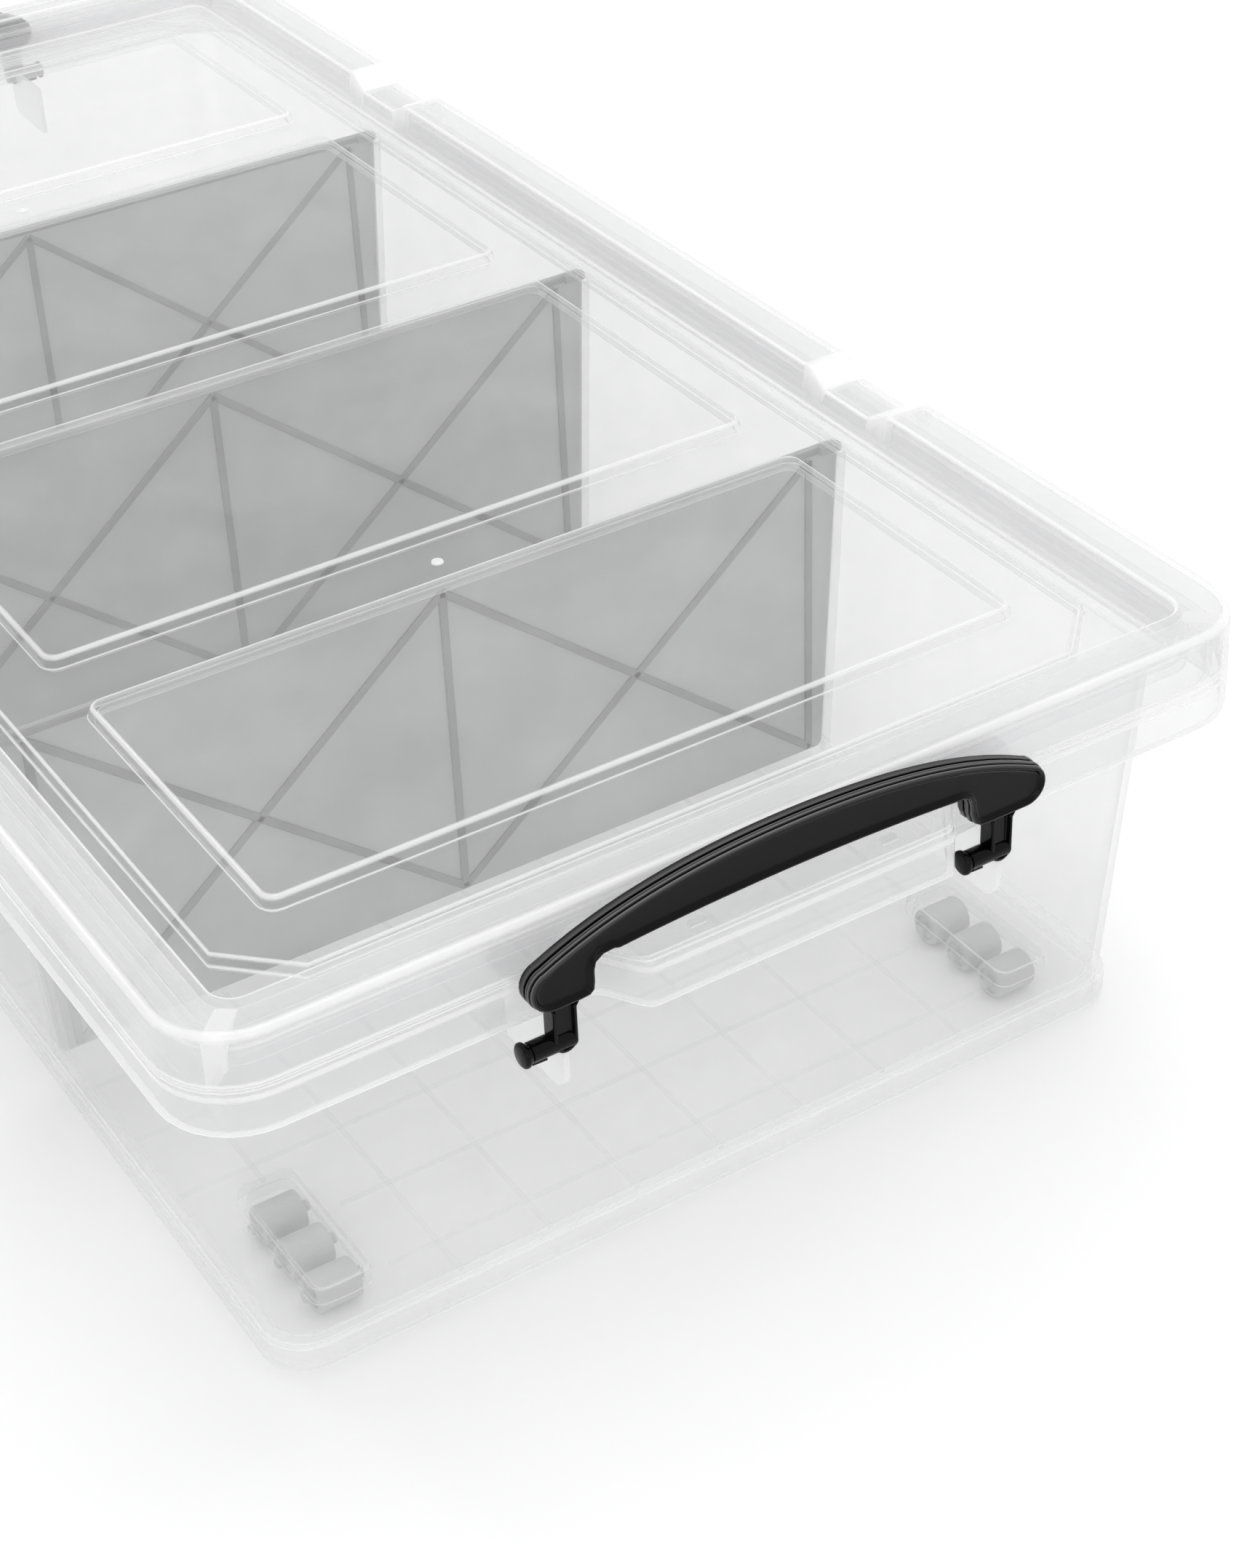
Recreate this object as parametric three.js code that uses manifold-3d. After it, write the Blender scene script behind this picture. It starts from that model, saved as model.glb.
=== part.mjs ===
// Low storage box on rollers with a lift-off lid, two swing-down clip handles and three slide-in dividers.
// Millimetres, +Z up. X runs across the box, Y along it; the origin is on the ground under its centre.
import * as THREE from "three";
import Module from "manifold-3d";
import { mergeVertices } from "three/addons/utils/BufferGeometryUtils.js";

const wasm = await Module();
wasm.setup();

// ---------- driving dimensions ----------
const boxWidth = 395;            // over the lid's skirt, along X
const boxLength = 779;           // over the lid's skirt, along Y
const cornerRadius = 27;         // lid skirt, seen from above
const tubCornerRadius = 16;
const rimInnerRadius = 8;        // inner corner of the lid's rim
const wall = 2;                  // moulded wall thickness
const gap = 0.3;                 // clearance left where two pieces meet
const cornerSteps = 5;           // facets in each rounded corner

const halfX = boxWidth / 2;
const halfY = boxLength / 2;

// heights above the ground
const footBottom = 2;            // foot ring: the rollers stand this far below it
const footTop = 12.6;
const floorTop = 11.5;
const middleZ = 80;              // halfway up the tub wall
const shoulderZ = 146;           // where the tub wall turns outwards
const tubTop = 159.7;            // top of the tub's lip, which the lid's notches rest on
const lipDrop = 16;              // depth of the lip's turned-down edge
const skirtBottom = 131.7;
const rimTop = 168;
const moatTop = 152;
const platformTop = 156;
const windowTop = 160.5;

// insets from the lid's outline, measured inwards
const footInset = 27;
const wallInsetLow = 28.5;
const wallInsetHigh = 21.6;
const riserInset = 13.5;
const lipInset = 5.6;
const rimInnerX = 21;
const rimInnerY = 18.5;
const platformInset = 32;
const platformChamfer = 22;

// lid windows and the strips between them, from the front
const windowHalfX = 142;
const firstWindowStart = 61;     // distance of the first window from the front of the skirt
const outerWindowDepth = 131.5;
const innerWindowDepth = 153;
const stripWidth = (boxLength - 2 * (firstWindowStart + outerWindowDepth + innerWindowDepth)) / 3;
const windowCorner = 7;

// dips in the lid's long rims, beside the first and last strips
const notchFloor = 162;
const notchHalfLow = 14;
const notchHalfHigh = 24;

// tongue on each short side of the skirt, reached over by the handle
const tongueHalf = 59;
const tongueRoot = 71;
const tongueOut = 16.5;
const tongueTop = 149;

// handles
const pinY = 9;                  // distance of the hinge axis outside the skirt
const pinZ = 128;
const pinRadius = 3.4;
const handleDepth = 8;
const handleHalf = 95.5;
const postX = 81;                // half the distance between the posts
const postShift = 2.5;           // both posts stand this far towards the side their pins point to
const postWidth = 9;
const pinReach = 14.5;           // from the middle of the post to the tip of the pin
const webOffset = 6.6;           // from the middle of the post to the middle of the web
const collar = 0.8;              // how far the pin's end stands proud all round
const collarWidth = 2.5;
const webThickness = 2;
const postDepth = 6.4;

// dividers
const dividerThickness = 2.2;
const dividerBottom = floorTop + gap;
const dividerTop = 149;
const ribWidth = 2;
const ribDepth = 1;
const endRibInset = 7;           // from the divider's lower corner to its end rib
const earHalf = 4.5;             // ears at the divider's top corners
const earDepth = 3;
const guideReach = 5;            // from the tub wall's outer face to the edge of a guide rib
const guideRoot = 0.8;
const guideThickness = 1.8;

// rollers, three in line under each corner
const rollerRadius = 7;
const rollerWidth = 16;
const rollerPitch = 19;
const rollerX = 139;
const rollerFirst = 54;          // middle of the first roller, from the front of the skirt
const stubRadius = 2;
const stubLength = 3;
const rollersPerCorner = 3;
const rollerSides = 18;

// ---------- materials ----------
const clearPlastic = new THREE.MeshStandardMaterial({
  color: 0xeef1f2, roughness: 0.25, metalness: 0, transparent: true, opacity: 0.35,
});
const greyPlastic = new THREE.MeshStandardMaterial({ color: 0xa3a6a8, roughness: 0.45, metalness: 0 });
const blackPlastic = new THREE.MeshStandardMaterial({ color: 0x141414, roughness: 0.22, metalness: 0 });
const rollerPlastic = new THREE.MeshStandardMaterial({ color: 0x8f9294, roughness: 0.5, metalness: 0 });

// ---------- mesh and solid helpers ----------
function geometryFrom(points, triangles) {
  const geometry = new THREE.BufferGeometry();
  geometry.setAttribute("position", new THREE.Float32BufferAttribute(points.flat(), 3));
  geometry.setIndex(triangles.flat());
  return geometry;
}

function solid(geometry) {
  const bare = geometry.clone();
  bare.deleteAttribute("normal");
  bare.deleteAttribute("uv");
  const merged = mergeVertices(bare, 1e-4);
  return new wasm.Manifold(new wasm.Mesh({
    numProp: 3,
    vertProperties: new Float32Array(merged.attributes.position.array),
    triVerts: new Uint32Array(merged.index.array),
  }));
}

function toGeometry(manifold) {
  const mesh = manifold.getMesh();
  const geometry = new THREE.BufferGeometry();
  geometry.setAttribute("position", new THREE.BufferAttribute(mesh.vertProperties, 3));
  geometry.setIndex(new THREE.BufferAttribute(mesh.triVerts, 1));
  geometry.computeVertexNormals();
  return geometry;
}

function piece(name, manifold, material) {
  const mesh = new THREE.Mesh(toGeometry(manifold), material);
  mesh.name = name;
  return mesh;
}

// A box between two corners.
function box(low, high) {
  const size = high.map((value, axis) => value - low[axis]);
  const geometry = new THREE.BoxGeometry(...size);
  geometry.translate(...low.map((value, axis) => value + size[axis] / 2));
  return solid(geometry);
}

// A cylinder along X.
function rodX(radius, x0, x1, y, z, sides = 20) {
  const geometry = new THREE.CylinderGeometry(radius, radius, x1 - x0, sides);
  geometry.rotateZ(Math.PI / 2);
  geometry.translate((x0 + x1) / 2, y, z);
  return solid(geometry);
}

// An outline in a plane, given thickness: "xy" grows along Z, "xz" along Y, "yz" along X.
function slab(outline, plane, from, to) {
  const shape = outline instanceof THREE.Shape
    ? outline : new THREE.Shape(outline.map(([a, b]) => new THREE.Vector2(a, b)));
  const options = { depth: to - from, bevelEnabled: false, curveSegments: 8 };
  const geometry = new THREE.ExtrudeGeometry(shape, options);
  geometry.translate(0, 0, from);
  if (plane === "xz") {
    geometry.rotateX(Math.PI / 2);
    geometry.translate(0, from + to, 0);
  }
  if (plane === "yz") {
    geometry.rotateX(Math.PI / 2);
    geometry.rotateZ(Math.PI / 2);
  }
  return solid(geometry);
}

// A closed loop of points: a rectangle with round corners, or with chamfered ones.
function ring(insetX, insetY, z, { chamfer = 0, centreY = 0, half = null, radius = null } = {}) {
  const hx = half ? half[0] : halfX - insetX;
  const hy = half ? half[1] : halfY - insetY;
  const r = chamfer || (radius ?? Math.max(cornerRadius - Math.min(insetX, insetY), rimInnerRadius));
  const points = [];
  for (let corner = 0; corner < 4; corner += 1) {
    const sx = corner === 0 || corner === 3 ? 1 : -1;
    const sy = corner < 2 ? 1 : -1;
    for (let step = 0; step <= cornerSteps; step += 1) {
      const t = step / cornerSteps;
      const angle = (corner + t) * Math.PI / 2;
      const along = chamfer ? cornerLine(corner, t) : [Math.cos(angle), Math.sin(angle)];
      points.push([sx * (hx - r) + r * along[0], centreY + sy * (hy - r) + r * along[1], z]);
    }
  }
  return points;
}

// Straight run between the two ends of a quarter circle.
function cornerLine(corner, t) {
  const start = [Math.cos(corner * Math.PI / 2), Math.sin(corner * Math.PI / 2)];
  const end = [Math.cos((corner + 1) * Math.PI / 2), Math.sin((corner + 1) * Math.PI / 2)];
  return [start[0] + (end[0] - start[0]) * t, start[1] + (end[1] - start[1]) * t];
}

// A skin through loops of equal length, closed by a flat face at each end.
function loft(rings) {
  const count = rings[0].length;
  const points = rings.flat();
  const triangles = [];
  for (let level = 0; level < rings.length - 1; level += 1) {
    for (let i = 0; i < count; i += 1) {
      const a = level * count + i;
      const b = level * count + (i + 1) % count;
      triangles.push([a, b, b + count], [a, b + count, a + count]);
    }
  }
  const last = (rings.length - 1) * count;
  for (let i = 1; i < count - 1; i += 1) {
    triangles.push([0, i + 1, i], [last, last + i, last + i + 1]);
  }
  return solid(geometryFrom(points, triangles));
}

const joinAll = (first, rest) => rest.reduce((sum, next) => sum.add(next), first);
const bothEnds = (make) => [make(-1), make(1)];

// Inset of the tub wall's outer face at a height.
function wallInset(z) {
  const t = (z - footTop) / (shoulderZ - footTop);
  return wallInsetLow + (wallInsetHigh - wallInsetLow) * t;
}

// Distances from the front of the skirt to the middle of each strip between windows.
const stripCentres = [
  firstWindowStart + outerWindowDepth + stripWidth / 2,
  boxLength / 2,
  boxLength - firstWindowStart - outerWindowDepth - stripWidth / 2,
];

// Front (end = -1) and rear (end = 1) place a distance from the skirt; positive distances lie inside.
const fromEnd = (end, distance) => end * (halfY - distance);

// ---------- tub ----------
function tubShell() {
  const inner = (z) => wallInset(z) + wall;
  const radius = (inset) => (inset > riserInset + wall ? tubCornerRadius : cornerRadius - inset);
  const both = (inset, z) => ring(inset, inset, z, { radius: radius(inset) });
  return loft([
    both(footInset + wall + 1, floorTop - wall),
    both(footInset + wall, footBottom),
    both(footInset, footBottom),
    both(footInset, footTop - 1),
    both(footInset + 0.6, footTop),
    both(wallInsetLow, footTop + 0.4),
    both(wallInset(middleZ), middleZ),
    both(wallInsetHigh, shoulderZ),
    both(riserInset, shoulderZ),
    both(riserInset, tubTop - wall),
    both(lipInset + wall, tubTop - wall),
    both(lipInset + wall, tubTop - lipDrop),
    both(lipInset, tubTop - lipDrop),
    both(lipInset, tubTop),
    both(riserInset + wall, tubTop),
    both(riserInset + wall, shoulderZ + wall),
    both(inner(shoulderZ + wall), shoulderZ + wall),
    both(inner(middleZ), middleZ),
    both(inner(footTop) + 1, floorTop),
  ]);
}

// Guide ribs that hold a divider upright, on one long wall.
function guideRibs(side, y) {
  const high = shoulderZ - 2;
  const low = floorTop - 1;
  const outline = [
    [side * (halfX - wallInset(low) - guideReach), low],
    [side * (halfX - wallInset(low) - guideRoot), low],
    [side * (halfX - wallInset(high) - guideRoot), high],
    [side * (halfX - wallInset(high) - guideReach), high],
  ];
  const offset = dividerThickness / 2 + ribDepth + gap;
  return bothEnds((end) => {
    const near = y + end * offset;
    const far = near + end * guideThickness;
    return slab(outline, "xz", Math.min(near, far), Math.max(near, far));
  });
}

// Raised pocket over one corner's rollers, and the space inside it.
const pocketHalfX = rollerWidth / 2 + 1.2;
const pocketEnd = rollerRadius + 2;
const pocketTop = 2 * rollerRadius + 1.5;
const rollerDistance = (index) => rollerFirst + index * rollerPitch;

function pocketRings(side, end, grow, low, high) {
  const front = rollerDistance(0) - pocketEnd - grow;
  const back = rollerDistance(rollersPerCorner - 1) + pocketEnd + grow;
  const centreY = fromEnd(end, (front + back) / 2);
  const level = (z, shrink) => ring(0, 0, z, {
    half: [pocketHalfX + grow - shrink, (back - front) / 2 - shrink],
    radius: 4 + grow / 2,
    centreY,
  }).map(([x, y, height]) => [x + side * rollerX, y, height]);
  return loft([level(low, 0), level(high - 2, 0), level(high, 1.2)]);
}

function snapSlot(side, end, index) {
  const x0 = side * rollerX - pocketHalfX - wall - 1;
  const x1 = side * rollerX + pocketHalfX + wall + 1;
  const y = fromEnd(end, rollerDistance(index));
  const half = stubRadius - 0.3;
  const seat = rodX(stubRadius + gap, x0, x1, y, rollerRadius, 12);
  return seat.add(box([x0, y - half, footBottom - 1], [x1, y + half, rollerRadius]));
}

// Clear webs under the skirt with a hole for each handle pin.
function pinWeb(end, side) {
  const x = side * postX + end * (postShift + webOffset);
  const inside = wallInset(pinZ) + 1;
  const points = [
    [-inside, pinZ - 19], [pinY + 1.5, pinZ - 16.5], [pinY + 4.5, pinZ - 14], [pinY + 6.5, pinZ - 9],
    [pinY + 6.5, pinZ + 4], [pinY + 4.5, pinZ + 6.2], [1.2, pinZ + 6.2], [1.2, skirtBottom - 0.5],
    [-inside, skirtBottom - 0.5],
  ].map(([out, z]) => [end * (halfY + out), z]);
  const plate = slab(points, "yz", x - webThickness / 2, x + webThickness / 2);
  const hole = rodX(pinRadius + gap, x - webThickness, x + webThickness, end * (halfY + pinY), pinZ);
  return plate.subtract(hole);
}

function tub() {
  let body = tubShell();
  for (const distance of stripCentres) {
    for (const side of [-1, 1]) {
      body = joinAll(body, guideRibs(side, distance - halfY));
    }
  }
  for (const end of [-1, 1]) {
    for (const side of [-1, 1]) {
      body = body.add(pocketRings(side, end, wall, footBottom + 1, pocketTop + wall));
      body = body.subtract(pocketRings(side, end, 0, footBottom - 1, pocketTop));
      for (let index = 0; index < rollersPerCorner; index += 1) {
        body = body.subtract(snapSlot(side, end, index));
      }
      body = body.add(pinWeb(end, side));
    }
  }
  return body;
}

// ---------- lid ----------
// Rounding of the rim's outer edge: inset, and depth below the top.
const rimEdge = [[0.9, 4], [1.7, 1.2], [3.6, 0]];

function lidShell() {
  const rim = (extra, z) => ring(rimInnerX + extra, rimInnerY + extra, z, { radius: rimInnerRadius });
  const skirt = (inset, z) => ring(inset, inset, z);
  const platform = (inset, z) => ring(inset, inset, z, { chamfer: platformChamfer });
  return loft([
    platform(platformInset + 1.2, platformTop - wall),
    platform(platformInset + 1.2, moatTop - wall),
    rim(-wall, moatTop - wall),
    rim(-wall - 0.6, rimTop - wall),
    skirt(wall + 2, rimTop - wall),
    skirt(wall, skirtBottom),
    skirt(0, skirtBottom),
    ...rimEdge.map(([inset, down]) => skirt(inset, rimTop - down)),
    rim(-0.8, rimTop),
    rim(0, moatTop),
    platform(platformInset, moatTop),
    platform(platformInset + 0.6, platformTop),
  ]);
}

function windowBlock(start, depth, grow, low, high) {
  const centreY = start + depth / 2 - halfY;
  const level = (z, shrink) => ring(0, 0, z, {
    half: [windowHalfX + grow - shrink, depth / 2 + grow - shrink], radius: windowCorner, centreY,
  });
  return loft([level(low, 0), level(high - 1, 0.4), level(high, 1.2)]);
}

function windowPlaces() {
  const depths = [outerWindowDepth, innerWindowDepth, innerWindowDepth, outerWindowDepth];
  let start = firstWindowStart;
  return depths.map((depth) => {
    const place = { start, depth };
    start += depth + stripWidth;
    return place;
  });
}

// Seen from above, the tongue leaves the skirt in an S-curve at each end.
function tongueOutline(end, grow, root) {
  const out = tongueOut + grow;
  const half = tongueHalf + grow;
  const foot = tongueRoot + grow;
  const rightHand = [
    [foot, root], [foot, 0], [foot - 3, 1.2], [half + 3, out * 0.3],
    [half + 0.5, out * 0.72], [half - 2, out - 1.8], [half - 6, out],
  ];
  const leftHand = rightHand.map(([x, y]) => [-x, y]).reverse();
  return [...rightHand, ...leftHand].map(([x, y]) => [x, end * (halfY + y)]);
}

function tongueBlock(end) {
  const low = slab(tongueOutline(end, 0, -2), "xy", skirtBottom, tongueTop - 2.5);
  const high = slab(tongueOutline(end, -2.2, -2), "xy", tongueTop - 2.6, tongueTop);
  return low.add(high);
}

function tongueHollow(end) {
  return slab(tongueOutline(end, -wall, -wall - 3), "xy", skirtBottom - 1, tongueTop - wall - 1);
}

function notchOutline(y, lift) {
  const top = rimTop + 1;
  return [
    [y - notchHalfHigh - lift, top], [y - notchHalfLow - lift, notchFloor - lift],
    [y + notchHalfLow + lift, notchFloor - lift], [y + notchHalfHigh + lift, top],
  ];
}

// The rim's outer envelope, which trims the linings of the dips.
function rimEnvelope() {
  const upper = rimEdge.map(([inset, down]) => ring(inset, inset, rimTop - down));
  return loft([ring(0.2, 0.2, skirtBottom), ...upper]);
}

function addNotch(body, y, side) {
  const inside = halfX - rimInnerX + wall / 2;
  const outside = halfX - 1;
  const spread = (low, high) => (side > 0 ? [low, high] : [-high, -low]);
  const liner = slab(notchOutline(y, wall), "yz", ...spread(inside, outside)).intersect(rimEnvelope());
  const cut = slab(notchOutline(y, 0), "yz", ...spread(inside - 2 * wall, halfX + 1));
  return body.add(liner).subtract(cut);
}

function lid() {
  let body = lidShell();
  for (const { start, depth } of windowPlaces()) {
    body = body.add(windowBlock(start, depth, 0, platformTop - 1, windowTop));
    body = body.subtract(windowBlock(start, depth, -wall, platformTop - wall - 1, windowTop - wall));
  }
  for (const end of [-1, 1]) {
    body = body.add(tongueBlock(end)).subtract(tongueHollow(end));
  }
  for (const distance of [stripCentres[0], stripCentres[2]]) {
    for (const side of [-1, 1]) {
      body = addNotch(body, distance - halfY, side);
    }
  }
  return body;
}

// ---------- handle ----------
const archTop = (x) => 174.6 - 0.0015 * x ** 2 - 7.8e-8 * x ** 4;
const archBottom = (x) => 157.8 - 0.0006 * x ** 2;
const lobeRadius = 7.8;
const lobeBottom = 142.4;
const archEnd = 67;              // half the width of the opening under the arch, at its top

function handleOutline(end) {
  const shape = new THREE.Shape();
  const leftEnd = -archEnd + end * postShift;
  const rightEnd = archEnd + end * postShift;
  const lobeX = handleHalf - lobeRadius;
  const lobeZ = lobeBottom + lobeRadius;
  shape.moveTo(-lobeX, lobeBottom);
  shape.lineTo(leftEnd - 4, lobeBottom);
  shape.lineTo(leftEnd - 1, lobeBottom + 3);
  shape.lineTo(leftEnd - 0.5, lobeBottom + 9);
  const steps = 12;
  for (let i = 0; i <= steps; i += 1) {
    const x = leftEnd + (rightEnd - leftEnd) * i / steps;
    shape.lineTo(x, archBottom(x));
  }
  shape.lineTo(rightEnd + 0.5, lobeBottom + 9);
  shape.lineTo(rightEnd + 1, lobeBottom + 3);
  shape.lineTo(rightEnd + 4, lobeBottom);
  shape.lineTo(lobeX, lobeBottom);
  shape.absarc(lobeX, lobeZ, lobeRadius, -Math.PI / 2, Math.PI / 3, false);
  const topX = lobeX + lobeRadius * Math.cos(Math.PI / 3) - 6;
  for (let i = 0; i <= steps; i += 1) {
    const x = topX - 2 * topX * i / steps;
    shape.lineTo(x, archTop(x));
  }
  shape.absarc(-lobeX, lobeZ, lobeRadius, Math.PI * 2 / 3, Math.PI * 3 / 2, false);
  return shape;
}

// The two handles are the same moulding turned half round, so the rear pins point the other way.
function handle(end) {
  const middleY = end * (halfY + pinY);
  let body = slab(handleOutline(end), "xz", middleY - handleDepth / 2, middleY + handleDepth / 2);
  for (const side of [-1, 1]) {
    const x = side * postX + end * postShift;
    const tip = x + end * pinReach;
    const tipInner = tip - end * collarWidth;
    const [collarLow, collarHigh] = [Math.min(tip, tipInner), Math.max(tip, tipInner)];
    const shaftEnd = x - end * postWidth / 2;
    const postLow = [x - postWidth / 2, middleY - postDepth / 2, pinZ];
    const postHigh = [x + postWidth / 2, middleY + postDepth / 2, lobeBottom + 2];
    body = body.add(box(postLow, postHigh));
    body = body.add(rodX(pinRadius, Math.min(tip, shaftEnd), Math.max(tip, shaftEnd), middleY, pinZ));
    body = body.add(rodX(pinRadius + collar, collarLow, collarHigh, middleY, pinZ));
  }
  return body;
}

// ---------- dividers ----------
function divider(distance) {
  const y = distance - halfY;
  const clear = wall + 1;
  const half = (z) => halfX - wallInset(z) - clear;
  const outline = [
    [-half(dividerBottom), dividerBottom], [half(dividerBottom), dividerBottom],
    [half(dividerTop - 4), dividerTop - 4], [half(dividerTop - 4), dividerTop],
    [-half(dividerTop - 4), dividerTop], [-half(dividerTop - 4), dividerTop - 4],
  ];
  const y0 = y - dividerThickness / 2;
  const y1 = y + dividerThickness / 2;
  const plate = slab(outline, "xz", y0, y1);
  const bar = (x0, z0, x1, z1) => {
    const length = Math.hypot(x1 - x0, z1 - z0);
    const nx = -(z1 - z0) / length * ribWidth / 2;
    const nz = (x1 - x0) / length * ribWidth / 2;
    const corners = [[x0 - nx, z0 - nz], [x1 - nx, z1 - nz], [x1 + nx, z1 + nz], [x0 + nx, z0 + nz]];
    return slab(corners, "xz", y0 - ribDepth, y0 + 0.5);
  };
  const ribLow = dividerBottom + 2;
  const ribHigh = dividerTop - 5;
  const endRib = half(dividerBottom) - endRibInset;
  const braces = [
    bar(0, ribLow, 0, ribHigh),
    bar(-endRib, ribLow, -endRib, ribHigh),
    bar(endRib, ribLow, endRib, ribHigh),
  ];
  for (const side of [-1, 1]) {
    braces.push(bar(0, ribLow, side * endRib, ribHigh), bar(0, ribHigh, side * endRib, ribLow));
    const ear = side * (half(dividerTop - 4) - earHalf - 0.5);
    braces.push(box([ear - earHalf, y0 - earDepth, dividerTop - earDepth], [ear + earHalf, y1, dividerTop]));
  }
  return joinAll(plate, braces);
}

// ---------- rollers ----------
function roller(side, end, index) {
  const halfWidth = rollerWidth / 2;
  const profile = [
    [0, -halfWidth - stubLength], [stubRadius, -halfWidth - stubLength], [stubRadius, -halfWidth],
    [rollerRadius - 0.8, -halfWidth], [rollerRadius, -halfWidth + 0.8], [rollerRadius, halfWidth - 0.8],
    [rollerRadius - 0.8, halfWidth], [stubRadius, halfWidth], [stubRadius, halfWidth + stubLength],
    [0, halfWidth + stubLength],
  ].map(([radius, along]) => new THREE.Vector2(radius, along));
  const geometry = new THREE.LatheGeometry(profile, rollerSides);
  geometry.rotateZ(-Math.PI / 2);
  geometry.translate(side * rollerX, fromEnd(end, rollerDistance(index)), rollerRadius);
  return solid(geometry);
}

// ---------- assembly ----------
const group = new THREE.Group();
group.add(piece("tub", tub(), clearPlastic));
group.add(piece("lid", lid(), clearPlastic));
group.add(piece("handle_front", handle(-1), blackPlastic));
group.add(piece("handle_rear", handle(1), blackPlastic));

["divider_front", "divider_middle", "divider_rear"].forEach((name, index) => {
  group.add(piece(name, divider(stripCentres[index]), greyPlastic));
});

for (const [endName, end] of [["front", -1], ["rear", 1]]) {
  for (const [sideName, side] of [["left", -1], ["right", 1]]) {
    for (let index = 0; index < rollersPerCorner; index += 1) {
      const name = `roller_${endName}_${sideName}_${index + 1}`;
      group.add(piece(name, roller(side, end, index), rollerPlastic));
    }
  }
}

export default group;
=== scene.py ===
import math

import bmesh
import bpy
from mathutils import Matrix, Vector


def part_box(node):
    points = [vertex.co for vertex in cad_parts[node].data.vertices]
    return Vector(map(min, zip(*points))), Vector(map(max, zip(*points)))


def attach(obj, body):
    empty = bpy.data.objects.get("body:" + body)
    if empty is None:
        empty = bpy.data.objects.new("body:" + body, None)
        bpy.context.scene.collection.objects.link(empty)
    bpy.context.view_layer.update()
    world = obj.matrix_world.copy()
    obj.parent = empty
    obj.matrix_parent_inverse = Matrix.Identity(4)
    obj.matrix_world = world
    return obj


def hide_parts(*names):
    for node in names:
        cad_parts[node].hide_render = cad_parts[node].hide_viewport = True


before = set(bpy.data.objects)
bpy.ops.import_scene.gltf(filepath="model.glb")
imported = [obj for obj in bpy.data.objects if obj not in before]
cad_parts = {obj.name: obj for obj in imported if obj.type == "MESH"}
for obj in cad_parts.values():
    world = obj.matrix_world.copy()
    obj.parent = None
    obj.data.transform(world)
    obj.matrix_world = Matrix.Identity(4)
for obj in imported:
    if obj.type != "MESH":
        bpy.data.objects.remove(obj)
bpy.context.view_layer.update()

# ---------- sizes, in millimetres ----------
MM = 0.001
lid_low, lid_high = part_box("lid")
HALF_X = lid_high.x / MM                 # lid skirt, across
TONGUE_OUT = 16.5
HALF_Y = lid_high.y / MM - TONGUE_OUT    # lid skirt, along, without its tongue
WALL = 2.0

SKIRT_BOTTOM = lid_low.z / MM
RIM_TOP = lid_high.z / MM
MOAT = 152.0
PLATFORM = 156.0
WINDOW_TOP = 160.5
TONGUE_TOP = 149.0
TONGUE_HALF, TONGUE_SLOPE = 68.5, 14.0   # half width where the side slope starts, and its length
FOOT_HALF, FOOT_SLOPE, FOOT_OUT = 75.0, 7.0, 0.8   # the low fillet outside that slope
NOTCH_DROP, NOTCH_HALF, NOTCH_SLOPE = 6.0, 24.5, 10.0
SKIRT_RADIUS = 27

WINDOW_HALF = 142.0
OUTER_DEPTH, INNER_DEPTH, MARGIN = 131.5, 153.0, 61.0
STRIP = (2 * HALF_Y - 2 * (MARGIN + OUTER_DEPTH + INNER_DEPTH)) / 3
STRIP_Y = [-HALF_Y + MARGIN + OUTER_DEPTH + STRIP / 2, 0.0, HALF_Y - MARGIN - OUTER_DEPTH - STRIP / 2]

FOOT_BOTTOM, FOOT_TOP, FLOOR = 2.0, 12.4, 11.5
SHOULDER = 146.0
TUB_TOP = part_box("tub")[1].z / MM
LIP_BOTTOM = 143.7

WALL_INSET_LOW, WALL_INSET_HIGH = 28.5, 21.6   # of the tub's wall, at FOOT_TOP and at SHOULDER

ROLLER_X, ROLLER_FIRST, ROLLER_PITCH, ROLLER_R, ROLLER_W = 139.0, 54.0, 19.0, 7.0, 16.0
PIN_OUT, PIN_Z, PIN_R = 9.0, 128.0, 3.4
POST_X, POST_SHIFT = 81.0, 2.5
POST_END_Z = PIN_Z + 0.8                 # centre of the round end of a post
SADDLE_REACH = 4.75                      # clears the post as it turns about its pin
GRID_PITCH, GRID_HALF, GRID_HAZE = 34.0, 0.9, -0.15   # negative haze keeps the grid faint

# "edge" is a value on each vertex: how much milkier the plastic is there, and how much painted highlight it
# carries along rounded edges
RIM_EDGE, SHEER_EDGE = 0.9, 0.1
INNER_SHINE = 0.35                       # the painted highlight on the lid's inner corners is weaker than on the outer ones
TURNS = [k * math.pi / 16 for k in range(32)]   # angles round a wheel or a pin


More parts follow.
